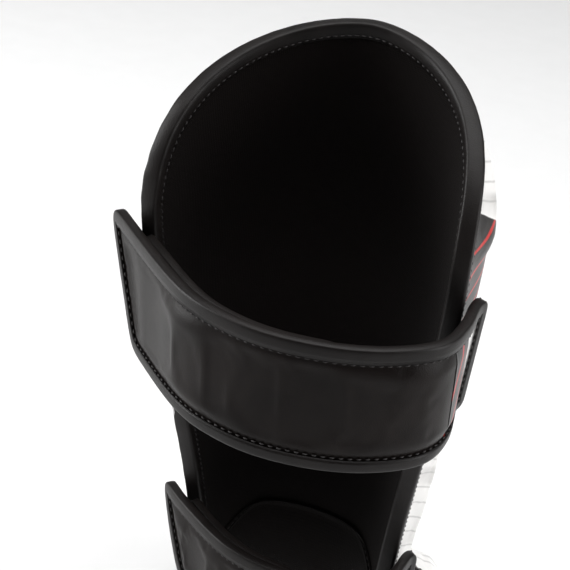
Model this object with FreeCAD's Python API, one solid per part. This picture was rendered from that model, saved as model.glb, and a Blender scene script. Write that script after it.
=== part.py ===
import FreeCAD, Part

import math
import os

# A padded shin and instep guard, right way up, in millimetres. +Z is up the leg, the shin faces -Y,
# the calf is at +Y, and the plane X = 0 cuts the shell in half. The floor under the foot is Z = 0.

# Shin shell. The sizes are those of the outer face of its bound edge, which is a half oval in plan.
HALF_WIDTH_TOP = 95.0
HALF_WIDTH_ANKLE = 66.0
REAR_EDGE_TOP = 97.0
REAR_EDGE_ANKLE = 52.0
WRAP_TOP = 80.0
WRAP_ANKLE = 92.0
SHIN_TOP = 448.0
RIM_DROP = 107.0
RIM_ROUND = 1.5
RIM_SHOULDER = 2.8
TAPER_START = 350.0
TAPER_END = 100.0
ANKLE_NOTCH = 112.0
WING_DROP = 30.0
NOTCH_FLAT = 0.32
NOTCH_SIDE = 0.5
WING_ROUND = 16.0

# Layers of the padded shell, from the leg outwards.
LINING = 0.8
COMFORT_FOAM = 3.0
EDGE_FOAM = 2.2
COVER = 1.0
PILLOW = 11.0
PILLOW_RAMP = 32.0

# Edge binding: a strip of leather folded round the raw edge.
BINDING_WIDTH = 8.5
BINDING_LEAF = 1.0
BINDING_WEB = 1.6
BINDING_CHAMFER = 1.8
SEAM_GAP = 0.25
SEAT_GAP = 0.4
FLAP_SEAT_GAP = 0.8
SOFT_GAP = 0.8
CORNER_GAP = 3.0

# Closing straps, and the flaps on the other rear edge that they close over.
UPPER_STRAP_TOP = 340.0
UPPER_STRAP_HEIGHT = 75.0
UPPER_STRAP_DEPTH = 71.0
UPPER_FREE_END = 27.0
LOWER_STRAP_TOP = 144.0
LOWER_STRAP_HEIGHT = 60.0
LOWER_STRAP_DEPTH = 44.0
LOWER_FREE_END = 18.0
STRAP_LEAN = 0.5
LEAN_FROM = 0.8
STRAP_ROOT = 0.88
STRAP_FOAM = 3.0
STRAP_SKIN = 0.9
STRAP_BINDING = 8.0
STRAP_LEAF = 0.8
STRAP_CORNER = 12.0
ROOT_PANEL = 50.0
FLAP_FOAM = 2.6
FLAP_SET_DOWN = 4.0
FLAP_CORNER = 22.0
HOOK_LOOP = 1.4

# Instep guard and the elastic under the foot.
INSTEP_LENGTH = 88.0
INSTEP_HALF_WIDTH = 94.0
INSTEP_WIDEST = 16.0
INSTEP_NARROWING = 0.36
INSTEP_HEIGHT = 103.0
INSTEP_START = 2.0
INSTEP_SLOPE = 0.78
INSTEP_SLOPE_EASE = 0.0008
INSTEP_DROP = 36.0
INSTEP_DROP_EASE = 0.16
INSTEP_SPAN = 80.0
INSTEP_SWEEP = 18.0
TOE_ROUND = 28.0
INSTEP_PILLOW = 7.0
SOLE_BAND_START = 14.0
SOLE_BAND_WIDTH = 44.0
SOLE_BAND_LAP = 0.79
SOLE_BAND = 2.0
BAND_GAP = 2.0
SOLE_HALF_WIDTH = 48.0
SOLE_BEND = 14.0
LAP_BEND = 5.0
ANKLE_ROLL = 4.0
ANKLE_ROLL_HALF = 30.0
ANKLE_WEB = 2.0

Vector = FreeCAD.Vector
UP = Vector(0, 0, 1)


def mix(low, high, share):
    return low + (high - low) * share


def smooth(share):
    share = min(max(share, 0.0), 1.0)
    return share * share * (3 - 2 * share)


def sheet(grid):
    """Flat three-sided faces over a grid of points."""
    faces = []
    for line, following in zip(grid, grid[1:]):
        corners = list(zip(line, line[1:], following[1:], following))
        for a, b, c, d in corners:
            for triangle in ((a, b, c), (a, c, d)):
                faces.append(Part.Face(Part.makePolygon([*triangle, triangle[0]])))
    return faces


def walls(rails, closed=False):
    """Faces between rings of points, each given with its distance from the edge.

    Every quad is cut from its outer ring to its inner one, so that pieces that touch have one face."""
    faces = []
    pairs = list(zip(rails, rails[1:] + rails[:1])) if closed else list(zip(rails, rails[1:]))
    for pair in pairs:
        outer, inner = sorted(pair, key=lambda rail: rail[0])
        faces += sheet([outer[1] + outer[1][:1], inner[1] + inner[1][:1]])
    return faces


def around(grid):
    """The border of a grid of points, as a ring: low edge, last line, high edge, first line."""
    low = [line[0] for line in grid]
    high = [line[-1] for line in grid]
    return low + grid[-1][1:-1] + high[::-1] + grid[0][-2:0:-1]


def solid_from(faces):
    shell = Part.makeShell(faces)
    shell.sewShape()
    solid = Part.makeSolid(Part.makeShell(shell.Faces))
    if solid.Volume < 0:
        solid.reverse()
    return solid


class Pad:
    """A curved panel: surface(p, q) in space, and columns of (p, lowest q, highest q) cut from it.

    side is 1 or -1, so that depth along the surface's normal is positive away from the leg."""

    def __init__(self, surface, columns, rows, side):
        self.surface = surface
        self.columns = columns
        self.rows = rows
        self.side = side

    def slopes(self, p, q):
        step_p, step_q = 1e-4, 1e-2
        along = (self.surface(p + step_p, q) - self.surface(p - step_p, q)) / (2 * step_p)
        across = (self.surface(p, q + step_q) - self.surface(p, q - step_q)) / (2 * step_q)
        return along, across

    def at(self, p, q, depth):
        along, across = self.slopes(p, q)
        normal = along.cross(across)
        normal.normalize()
        return self.surface(p, q) + normal * (depth * self.side)

    def outline(self):
        """Stations round the edge: low edge, last column, high edge, first column."""
        first, last = self.columns[0], self.columns[-1]
        inner_rows = self.rows[1:-1]
        low = [(p, q_low) for p, q_low, _ in self.columns]
        high = [(p, q_high) for p, _, q_high in reversed(self.columns)]
        right = [(last[0], mix(last[1], last[2], share)) for share in inner_rows]
        left = [(first[0], mix(first[1], first[2], share)) for share in reversed(inner_rows)]
        return low + right + high + left

    def inset(self, width):
        """The outline moved inwards over the surface by width, mitred at its corners."""
        stations = self.outline()
        places = [self.surface(p, q) for p, q in stations]
        moved = []
        for k, (p, q) in enumerate(stations):
            along, across = self.slopes(p, q)
            up = along.cross(across)
            inward = Vector(0, 0, 0)
            for edge in (places[k] - places[k - 1], places[(k + 1) % len(places)] - places[k]):
                inward += up.cross(edge).normalize()
            step = inward * (2 * width / max(inward.Length, 1.3) / inward.Length)
            e, f, g = along.dot(along), along.dot(across), across.dot(across)
            a, b = along.dot(step), across.dot(step)
            spread = e * g - f * f
            moved.append((p + (g * a - f * b) / spread, q + (e * b - f * a) / spread))
        return moved

    def grid(self, depth, width):
        """Points over the panel at a depth, which is a number or a function of the edge distance."""
        edge = self.inset(width)
        columns, rows = len(self.columns), len(self.rows)
        low = edge[:columns]
        high = edge[columns + rows - 2:2 * columns + rows - 2][::-1]
        border = [self.surface(p, q) for p, q in self.outline()]
        lines = []
        for (p0, q0), (p1, q1) in zip(low, high):
            line = []
            for share in self.rows:
                p, q = mix(p0, p1, share), mix(q0, q1, share)
                value = depth
                if callable(depth):
                    here = self.surface(p, q)
                    value = depth(min((here - place).Length for place in border))
                line.append(self.at(p, q, value))
            lines.append(line)
        return lines

    def layer(self, low, high, width, margin=None, columns=slice(None), rows=slice(None)):
        """A sheet between two depths, its edge set back by width and level as far as margin.

        columns and rows pick out a part of the panel."""
        inner = width if margin is None else margin
        bottom, top = [
            [line[rows] for line in self.grid(depth, inner)[columns]] for depth in (low, high)
        ]
        rails = [(inner, around(bottom)), (inner, around(top))]
        if margin is not None:
            rails[1:1] = [(width, around(self.grid(depth, width))) for depth in (low, high)]
        return solid_from(sheet(bottom) + sheet(top) + walls(rails))

    def binding(self, low, high, width, leaf, chamfer):
        """A folded strip whose section is a U round the edge of layers that lie from low to high."""
        outer_low, outer_high = low - leaf, high + leaf
        inner_low, inner_high = low - SEAM_GAP, high + SEAM_GAP
        section = [
            (chamfer, outer_high), (width, outer_high), (width, inner_high),
            (BINDING_WEB, inner_high), (BINDING_WEB, inner_low), (width, inner_low),
            (width, outer_low), (chamfer, outer_low),
        ]
        if chamfer:
            section += [(0.0, outer_low + chamfer), (0.0, outer_high - chamfer)]
        rails = [(inward, around(self.grid(depth, inward))) for inward, depth in section]
        return solid_from(walls(rails, closed=True))


# Shin shell.

def taper(z):
    share = (TAPER_START - z) / (TAPER_START - TAPER_END)
    return mix(smooth(share), min(max(share, 0.0), 1.2), 0.5)


def half_width(z):
    return mix(HALF_WIDTH_TOP, HALF_WIDTH_ANKLE, taper(z))


def rear_edge(z):
    return mix(REAR_EDGE_TOP, REAR_EDGE_ANKLE, taper(z))


def shin_surface(p, z):
    """Outer face of the bound edge: p runs from -1 at the -X rear edge to 1 at the +X one."""
    wrap = math.radians(mix(WRAP_TOP, WRAP_ANKLE, taper(z)))
    depth = rear_edge(z) / (1 - math.cos(wrap))
    return Vector(half_width(z) * math.sin(p * wrap), depth * (1 - math.cos(p * wrap)), z)


def shin_columns():
    """An arched top edge and a low edge notched for the instep, closer together towards the rear."""
    last = math.radians(84)
    count = 12
    columns = []
    for k in range(-count, count + 1):
        turn = last * k / count
        p = math.copysign(abs(math.sin(turn)) ** (2 / RIM_ROUND), turn)
        top = SHIN_TOP - RIM_DROP * (1 - math.cos(turn) ** (2 / RIM_SHOULDER))
        beside = smooth((abs(p) - NOTCH_FLAT) / NOTCH_SIDE)
        bottom = ANKLE_NOTCH - WING_DROP * beside + WING_ROUND * abs(p) ** 12
        columns.append((p, bottom, top))
    return columns


SHIN_ROWS = [0, 0.07, 0.25, 0.5, 0.75, 0.93, 1]
STACK_LOW = -BINDING_LEAF - COVER - EDGE_FOAM - COMFORT_FOAM - LINING
STACK_HIGH = -BINDING_LEAF
INSIDE_BINDING = BINDING_WEB + SEAM_GAP
SHIN = Pad(shin_surface, shin_columns(), SHIN_ROWS, 1)


def pillow(base, height, ramp):
    return lambda distance: base + height * smooth((distance - BINDING_WIDTH) / ramp)


def padded_stack(pad, name, height, ramp):
    """Lining, comfort foam, impact foam, cover and binding of one padded section."""
    comfort = STACK_LOW + LINING
    impact = comfort + COMFORT_FOAM
    under_cover = pillow(STACK_HIGH - COVER, height, ramp)
    over_cover = pillow(STACK_HIGH, height, ramp)
    edges = (INSIDE_BINDING, BINDING_WIDTH)
    return {
        name + "_lining": pad.layer(STACK_LOW, comfort, *edges),
        name + "_comfort_foam": pad.layer(comfort, impact, *edges),
        name + "_impact_foam": pad.layer(impact, under_cover, *edges),
        name + "_cover": pad.layer(under_cover, over_cover, *edges),
        name + "_edge_binding": pad.binding(STACK_LOW, STACK_HIGH, BINDING_WIDTH, BINDING_LEAF,
                                            BINDING_CHAMFER),
    }


# Straps. The plan of a closed strap is a belly behind the shell's rear edges, in shares of the
# half width there and of the strap's own depth. It runs straight on past the +X edge to a free end.

BELLY = [(-1.03, 0.20), (-0.99, 0.51), (-0.80, 0.76), (-0.53, 0.93), (-0.155, 1.0), (0.138, 0.93),
         (0.38, 0.78)]
BELLY_TAPER = 0.35
STRAP_INNER = STRAP_LEAF
STRAP_OUTER = STRAP_LEAF + 2 * STRAP_SKIN + STRAP_FOAM
FLAP_OUTER = STRAP_LEAF + 2 * STRAP_SKIN + FLAP_FOAM
FLAP_INSET = (HOOK_LOOP - STRAP_LEAF) + SOFT_GAP + FLAP_OUTER + HOOK_LOOP
FLAP_COLUMNS = (7, 17)
HOOK_COLUMNS = (8, 15)


def spline(points):
    """A smooth line through points, as a function of the share of the way along it."""
    curve = Part.BSplineCurve()
    curve.interpolate(points)
    first, last = curve.FirstParameter, curve.LastParameter
    return lambda share: curve.value(mix(first, last, share))


def belly_frame(z, top):
    """Half width and rear edge that a strap is laid out on: it tapers less than the shell."""
    high, here = shin_surface(1, top), shin_surface(1, z)
    return mix(high.x, here.x, BELLY_TAPER), mix(high.y, here.y, BELLY_TAPER / 2)


def belly_points(z, top, depth):
    width, rear = belly_frame(z, top)
    return [Vector(width * x, rear + depth * y, z) for x, y in BELLY]


def strap_line(z, top, depth, free):
    """Inner face of a strap at height z, from its root on the -X side to its free end."""
    points = []
    for p in (-STRAP_ROOT, -STRAP_ROOT - 0.05):
        outer = PILLOW * smooth((1 - abs(p)) / 0.22)
        points.append(SHIN.at(p, z, outer + SEAT_GAP))
    points += belly_points(z, top, depth)
    width, rear = belly_frame(z, top)
    touch = Vector(width, rear, z) + Vector(1, 1, 0).normalize() * CORNER_GAP
    onward = Vector(1, -1, 0).normalize()
    points += [touch + onward * (free - 22), touch + onward * free]
    return spline(points)


def band(line, low, high):
    """Surface ruled between the low and the high line of a band; its q runs from 0 to 1."""
    low_line, high_line = line(low), line(high)
    return lambda p, q: low_line(p) * (1 - q) + high_line(p) * q


def between(low, high):
    """Surface ruled between two rails of points; its p counts the points."""
    last = len(low) - 2

    def surface(p, q):
        k = min(max(int(math.floor(p)), 0), last)
        share = p - k
        ends = [rail[k] * (1 - share) + rail[k + 1] * share for rail in (low, high)]
        return ends[0] * (1 - q) + ends[1] * q

    return surface


def length_of(surface):
    places = [surface(k / 40, 0.5) for k in range(41)]
    return sum((b - a).Length for a, b in zip(places, places[1:]))


def corner_columns(end, reach, rise):
    """Last columns of a band: its corners are rounded over a reach along it and a rise across it."""
    columns = []
    for angle in (0, 30, 55, 75):
        turn = math.radians(angle)
        drop = rise * (1 - math.cos(turn))
        columns.append((end - reach * (1 - math.sin(turn)), drop, 1 - drop))
    return columns


def band_rows(height):
    """The middle row of a band is its patch of hook or loop tape, clear of the binding."""
    edge = (STRAP_BINDING + 1) / height
    return [0, edge, 1 - edge, 1]


PATCH_ROWS = slice(1, 3)


def strap(name, top, height, depth, free):
    """Face, printed root panel, foam, backing, hook patch and binding of one strap."""
    def line(z):
        return strap_line(z, top, depth, free)

    upright = band(line, top - height, top)
    length = length_of(upright)
    slant = STRAP_LEAN * height / (length * (1 - LEAN_FROM))

    def surface(p, q):
        beyond = max(p - LEAN_FROM, 0.0)
        return upright(p - beyond * slant * (1 - q), q)

    seam, reach = ROOT_PANEL / length, STRAP_CORNER / length
    bound = STRAP_BINDING / length
    columns = [(0.0, 0.0, 1.0)] + [(mix(bound, seam, k / 3), 0.0, 1.0) for k in range(3)]
    columns += [(mix(seam, 1 - reach, k / 16), 0.0, 1.0) for k in range(16)]
    columns += corner_columns(1, reach, STRAP_CORNER / height)
    pad = Pad(surface, columns, band_rows(height), -1)
    backing = STRAP_INNER + STRAP_SKIN
    foam = backing + STRAP_FOAM
    hook = slice(HOOK_COLUMNS[0], HOOK_COLUMNS[1] + 1)
    solids = {
        name + "_backing": pad.layer(STRAP_INNER, backing, INSIDE_BINDING),
        name + "_foam": pad.layer(backing, foam, INSIDE_BINDING),
        name + "_face": pad.layer(foam, STRAP_OUTER, INSIDE_BINDING, columns=slice(4, None)),
        name + "_root_panel": pad.layer(foam, STRAP_OUTER, INSIDE_BINDING, columns=slice(0, 5)),
        name + "_binding": pad.binding(STRAP_INNER, STRAP_OUTER, STRAP_BINDING, STRAP_LEAF, 0),
        name + "_hook_patch": pad.layer(STRAP_INNER - HOOK_LOOP, STRAP_INNER, INSIDE_BINDING,
                                        columns=hook, rows=PATCH_ROWS),
    }
    return solids, pad


def flap_rail(strap_pad, q, z):
    """Inner face of a flap: from the shell's +X rear edge, then inside the strap at its height q."""
    edge = SHIN.columns[-1][0]
    corner = SHIN.at(edge, z, STACK_LOW - BINDING_LEAF + BINDING_CHAMFER)
    backward = (shin_surface(edge, z) - shin_surface(edge - 0.01, z)).normalize()
    stations = [p for p, _, _ in strap_pad.columns[FLAP_COLUMNS[0]:FLAP_COLUMNS[1]]]
    inside = [strap_pad.at(p, q, -FLAP_INSET) for p in reversed(stations)]
    return [corner + backward * FLAP_SEAT_GAP] + inside


def flap(name, strap_pad, top, height):
    """Lining, foam, cover, loop patch and binding of one flap."""
    inner_height = height - 2 * FLAP_SET_DOWN
    low_q = FLAP_SET_DOWN / height
    low = flap_rail(strap_pad, low_q, top - height + FLAP_SET_DOWN)
    high = flap_rail(strap_pad, 1 - low_q, top - FLAP_SET_DOWN)
    surface = between(low, high)
    end = len(low) - 1
    reach = FLAP_CORNER / (surface(end, 0.5) - surface(end - 1, 0.5)).Length
    whole = int(end - reach) + 1
    bound = STRAP_BINDING / (surface(1, 0.5) - surface(0, 0.5)).Length
    columns = [(p, 0.0, 1.0) for p in (0, bound, *range(1, whole))]
    columns += corner_columns(end, reach, FLAP_CORNER / inner_height)
    pad = Pad(surface, columns, band_rows(inner_height), 1)
    foam = STRAP_LEAF + STRAP_SKIN
    cover = foam + FLAP_FOAM
    solids = {
        name + "_lining": pad.layer(STRAP_LEAF, foam, INSIDE_BINDING),
        name + "_foam": pad.layer(foam, cover, INSIDE_BINDING),
        name + "_cover": pad.layer(cover, FLAP_OUTER, INSIDE_BINDING),
        name + "_binding": pad.binding(STRAP_LEAF, FLAP_OUTER, STRAP_BINDING, STRAP_LEAF, 0),
        name + "_loop_patch": pad.layer(FLAP_OUTER, FLAP_OUTER + HOOK_LOOP, INSIDE_BINDING,
                                        columns=slice(3, whole + 1), rows=PATCH_ROWS),
    }
    return solids, surface


# Instep guard.

def instep_surface(p, v):
    """Outer face of the bound edge: p crosses the foot, v is the distance forward of the ankle."""
    offset = (v - INSTEP_WIDEST) / INSTEP_LENGTH
    width = INSTEP_HALF_WIDTH * (1 - INSTEP_NARROWING * offset * offset)
    turn = p * math.radians(INSTEP_SPAN)
    crest = INSTEP_HEIGHT - INSTEP_SLOPE * v + INSTEP_SLOPE_EASE * v * v
    drop = (INSTEP_DROP - INSTEP_DROP_EASE * v) * (1 - math.cos(turn))
    return Vector(width * math.sin(turn), -INSTEP_START - v, crest - drop)


def instep_columns():
    """A shield: a short straight edge at the ankle, swept sides and a rounded toe end."""
    last = math.radians(80)
    count = 9
    columns = []
    for k in range(-count, count + 1):
        turn = last * k / count
        cut = 1 - math.cos(turn)
        columns.append((math.sin(turn), INSTEP_SWEEP * cut, INSTEP_LENGTH - TOE_ROUND * cut))
    return columns


INSTEP_ROWS = [0, 0.25, 0.5, 0.75, 1]
INSTEP = Pad(instep_surface, instep_columns(), INSTEP_ROWS, -1)


def ankle_axis():
    """The instep's flat rear face turns round a rolled seam that lies just behind it."""
    outer = INSTEP.at(0, 0, 0)
    inner = INSTEP.at(0, 0, STACK_LOW - BINDING_LEAF)
    backward = (INSTEP.at(0, 0, 0) - INSTEP.at(0, 1, 0)).normalize()
    return (outer + inner) * 0.5 + backward * (ANKLE_ROLL + SOFT_GAP / 2)


def ankle_hinge():
    """Rolled leather seam across the ankle, and the web that ties it to the shin shell."""
    axis = ankle_axis()
    start = Vector(-ANKLE_ROLL_HALF, axis.y, axis.z)
    roll = Part.makeCylinder(ANKLE_ROLL, 2 * ANKLE_ROLL_HALF, start, Vector(1, 0, 0))
    web = Part.makeBox(1.6 * ANKLE_ROLL_HALF, ANKLE_WEB, ANKLE_NOTCH - SEAM_GAP - axis.z,
                       Vector(-0.8 * ANKLE_ROLL_HALF, axis.y - ANKLE_WEB / 2, axis.z))
    return roll.fuse(web).removeSplitter()


def rounded_path(points, radii, steps):
    """The points of an open line whose corners are turned into arcs, each of the same few steps."""
    path = [points[0]]
    for before, corner, after, radius in zip(points, points[1:], points[2:], radii):
        back = (before - corner).normalize()
        onward = (after - corner).normalize()
        half = back.getAngle(onward) / 2
        bisector = (back + onward).normalize()
        centre = corner + bisector * (radius / math.sin(half))
        first = corner + back * (radius / math.tan(half)) - centre
        last = corner + onward * (radius / math.tan(half)) - centre
        for k in range(steps + 1):
            spoke = (first * (1 - k / steps) + last * (k / steps)).normalize()
            path.append(centre + spoke * radius)
    return path + [points[-1]]


def sole_band():
    """Elastic under the foot: a flat-bottomed U whose ends lie along the insides of the instep."""
    inside = STACK_LOW - BINDING_LEAF - BAND_GAP

    def section(v):
        y = -INSTEP_START - v
        lap = [INSTEP.at(p, v, inside) for p, _, _ in INSTEP.columns if p > SOLE_BAND_LAP]
        floor = [Vector(SOLE_HALF_WIDTH, y, 0), Vector(-SOLE_HALF_WIDTH, y, 0)]
        bends = (LAP_BEND, SOLE_BEND)
        path = lap[:-2] + rounded_path(lap[-2:] + floor, bends, 4)[:-1]
        mirrored = [Vector(-place.x, place.y, place.z) for place in reversed(path)]
        return path + mirrored

    rear, front = section(SOLE_BAND_START), section(SOLE_BAND_START + SOLE_BAND_WIDTH)
    pad = Pad(between(rear, front), [(k, 0.0, 1.0) for k in range(len(rear))], [0, 1], 1)
    return pad.layer(0, SOLE_BAND, 0).removeSplitter()


def main():
    os.makedirs("parts", exist_ok=True)
    solids = padded_stack(SHIN, "shin", PILLOW, PILLOW_RAMP)
    solids["ankle_hinge_seam"] = ankle_hinge()
    axes = {"ankle_flex": (ankle_axis() - Vector(1, 0, 0), ankle_axis() + Vector(1, 0, 0))}
    for name, top, height, depth, free in (
        ("upper", UPPER_STRAP_TOP, UPPER_STRAP_HEIGHT, UPPER_STRAP_DEPTH, UPPER_FREE_END),
        ("lower", LOWER_STRAP_TOP, LOWER_STRAP_HEIGHT, LOWER_STRAP_DEPTH, LOWER_FREE_END),
    ):
        pieces, strap_pad = strap(name + "_strap", top, height, depth, free)
        solids.update(pieces)
        pieces, flap_surface = flap(name + "_flap", strap_pad, top, height)
        solids.update(pieces)
        axes[name + "_strap_open"] = (strap_pad.surface(0, 0), strap_pad.surface(0, 1))
        axes[name + "_flap_flex"] = (flap_surface(0, 0), flap_surface(0, 1))
    solids.update(padded_stack(INSTEP, "instep", INSTEP_PILLOW, PILLOW_RAMP))
    solids["sole_band"] = sole_band()
    under_foot = Vector(0, INSTEP_START + SOLE_BAND_START + SOLE_BAND_WIDTH / 2, 0)
    for name, solid in solids.items():
        solid.translate(under_foot)
        solid.exportStep(f"parts/{name}.step")
        print(name, round(solid.Volume), solid.isValid())
    for name, (low, high) in axes.items():
        middle = (low + high) / 2 + under_foot
        along = (high - low).normalize()
        print("joint", name, *[round(value, 3) for value in (*middle, *along)])


if __name__ == "__main__":
    main()
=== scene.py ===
"""Looks of a padded shin and instep guard: printed leather over foam, black liner and straps."""

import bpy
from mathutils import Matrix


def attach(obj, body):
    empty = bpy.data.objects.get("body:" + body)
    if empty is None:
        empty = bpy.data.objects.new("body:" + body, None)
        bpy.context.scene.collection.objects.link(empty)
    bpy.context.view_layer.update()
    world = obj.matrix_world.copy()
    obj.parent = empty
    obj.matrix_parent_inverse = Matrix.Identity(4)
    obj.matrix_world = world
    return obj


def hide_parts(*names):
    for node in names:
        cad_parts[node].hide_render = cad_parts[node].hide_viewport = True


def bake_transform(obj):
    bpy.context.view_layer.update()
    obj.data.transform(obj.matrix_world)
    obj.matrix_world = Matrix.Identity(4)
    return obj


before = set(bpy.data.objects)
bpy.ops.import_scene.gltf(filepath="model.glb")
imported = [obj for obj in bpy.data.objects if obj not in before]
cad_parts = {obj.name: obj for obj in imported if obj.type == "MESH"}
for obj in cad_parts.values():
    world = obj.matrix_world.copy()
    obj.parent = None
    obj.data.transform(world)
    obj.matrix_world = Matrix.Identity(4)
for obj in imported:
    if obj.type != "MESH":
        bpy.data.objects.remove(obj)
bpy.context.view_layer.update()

import copy
import math

import bpy
import numpy as np
from mathutils import Matrix, Vector

MM = 0.001

# Where the front of the shin stands, forward of which the foot goes.
SHIN_FRONT = 38 * MM

# Shell, as the outer face of its bound edge.
HALF_WIDTH = (95.0 * MM, 66.0 * MM)
REAR_EDGE = (97.0 * MM, 52.0 * MM)
WRAP = (math.radians(80), math.radians(92))
SHIN_TOP = 448 * MM
RIM_DROP = 107 * MM
RIM_ROUND = 1.5
RIM_SHOULDER = 2.8
TAPER_Z = (350 * MM, 100 * MM)
ANKLE_NOTCH = 112 * MM
WING_DROP = 30 * MM
WING_ROUND = 16 * MM

# Layers, outwards from the leg.
STACK = 9.4 * MM
PILLOW = 12 * MM
PILLOW_RAMP = 19 * MM
PILLOW_LOW = 11 * MM
PILLOW_LOW_RAMP = 32 * MM
SKIN = 0.8 * MM
COVER_SET = 0.9 * MM
BACKING_SET = 0.7 * MM
BINDING = 8.5 * MM
BULGE = 1.0 * MM
RING_SPACING = 2.5 * MM

# Stitching through the bindings.
STITCH_INSET = 1.6 * MM
STITCH_RISE = 0.25 * MM
STITCH_LENGTH = 2.6 * MM
STITCH_RADIUS = 0.42 * MM

# Cloth pass on the padded covers: share of spare cloth and cap on movement.
CLOTH_FRAMES = 20
CLOTH_PRESSURE = 4.0
CLOTH_EVERY = 2
CLOTH_EASE = 6 * MM
SHIN_PUFF = (0.012, 2.0 * MM)
INSTEP_PUFF = (0.012, 1.6 * MM)
STRAP_PUFF = (0.006, 0.6 * MM)

# Straps and flaps.
UPPER = {"name": "upper", "top": 340 * MM, "height": 75 * MM, "depth": 71 * MM, "free": 27 * MM}
LOWER = {"name": "lower", "top": 144 * MM, "height": 60 * MM, "depth": 44 * MM, "free": 18 * MM}
BELLY = [(-1.03, 0.20), (-0.99, 0.51), (-0.80, 0.76), (-0.53, 0.93), (-0.155, 1.0), (0.138, 0.93),
         (0.38, 0.78)]
BELLY_TAPER = 0.35
STRAP_THICKNESS = 6.4 * MM
STRAP_BINDING = 8 * MM
STRAP_CORNER = 12 * MM
STRAP_LEAN = 0.5
STRAP_ROOT = (-0.88, -0.93)
STRAP_ROOT_RAMP = 0.20
STRAP_STEP = 6e-3
LEAN_FROM = 0.8
ROOT_PANEL = 50 * MM
FLAP_THICKNESS = 6.0 * MM
FLAP_INSET = 8.0 * MM
FLAP_SET_DOWN = 4 * MM
FLAP_CORNER = 22 * MM

# Instep.
INSTEP_LENGTH = 88 * MM
INSTEP_HALF_WIDTH = 94 * MM
INSTEP_WIDEST = 16 * MM
INSTEP_HEIGHT = 103 * MM
INSTEP_START = 2 * MM
INSTEP_NARROWING = 0.36
INSTEP_TURN = math.radians(80)
INSTEP_SLOPE = 0.78
INSTEP_SLOPE_EASE = 0.8
INSTEP_DROP = 36 * MM
INSTEP_DROP_EASE = 0.16
INSTEP_PILLOW = 7 * MM
INSTEP_RAMP = 20 * MM
INSTEP_SWEEP = 18 * MM
TOE_ROUND = 28 * MM
BAND_START = 14 * MM
BAND_WIDTH = 44 * MM
BAND_HALF = 48 * MM
BAND_DEPTH = 11.0 * MM
BAND_THICKNESS = 1.9 * MM

# Ankle.
SEAM_CENTRE = np.array([0.0, 42.3 * MM, 102.9 * MM])
SEAM_HALF = 30 * MM
WEB_HALF = 24 * MM
WEB_THICKNESS = 2.0 * MM
# Sheet of painted shade inside the ankle.
SHADE_SHEET_THICKNESS = 1.1 * MM
SHADE_SHEET_DEPTH = -STACK - 0.6 * MM

# Camera.
CAMERA_PLACE = (-0.24646, 0.81992 + SHIN_FRONT, 0.74245)
CAMERA_AIM = (0.28837, -0.82939, -0.47849)
CAMERA_ROLL = math.radians(6.14)
CAMERA_LENS = 102.17


def mix(low, high, share):
    return low + (high - low) * share


def smooth(share):
    share = np.clip(share, 0, 1)
    return share * share * (3 - 2 * share)


def unit(vectors):
    return vectors / np.linalg.norm(vectors, axis=-1, keepdims=True)


def points(x, y, z):
    return np.stack(np.broadcast_arrays(x, y, z), -1).astype(float)


def distances(line):
    """How far along a line each of its points lies."""
    return np.concatenate([[0], np.cumsum(np.linalg.norm(np.diff(line, axis=0), axis=1))])


def sample(line, travelled, where):
    """Places on a line at given distances along it."""
    return np.stack([np.interp(where, travelled, column) for column in line.T], -1)


def wander(count, seed, reach):
    """A smooth random line of count values between about -1 and 1, closed on itself."""
    random = np.random.default_rng(seed)
    values = random.normal(size=count)
    spectrum = np.fft.rfft(values)
    spectrum *= np.exp(-(np.arange(len(spectrum)) * reach / count) ** 2)
    line = np.fft.irfft(spectrum, count)
    return line / np.abs(line).max()


# Meshes

def new_object(name, vertices, faces, material=None, uvs=None):
    """A mesh object; a piece that shares its name with a CAD node is told apart by an ending."""
    if name in bpy.data.objects:
        name += "_sewn"
    mesh = bpy.data.meshes.new(name)
    mesh.from_pydata([tuple(v) for v in vertices], [], faces)
    mesh.update()
    if uvs is not None:
        layer = mesh.uv_layers.new(name="UVMap")
        corners = np.empty(len(mesh.loops), np.int32)
        mesh.loops.foreach_get("vertex_index", corners)
        layer.data.foreach_set("uv", np.asarray(uvs, np.float32)[corners].ravel())
    mesh.polygons.foreach_set("use_smooth", [True] * len(mesh.polygons))
    if material is not None:
        mesh.materials.append(material)
    piece = bpy.data.objects.new(name, mesh)
    bpy.context.scene.collection.objects.link(piece)
    return piece


def quads(rows, columns, start=0, wrap_rows=False, wrap_columns=False, flip=False):
    """Faces over a grid of vertices stored row by row."""
    faces = []
    for i in range(rows if wrap_rows else rows - 1):
        for j in range(columns if wrap_columns else columns - 1):
            a, b = i * columns + j, i * columns + (j + 1) % columns
            c, d = ((i + 1) % rows) * columns + (j + 1) % columns, ((i + 1) % rows) * columns + j
            face = (a + start, b + start, c + start, d + start)
            faces.append(face[::-1] if flip else face)
    return faces


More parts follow.
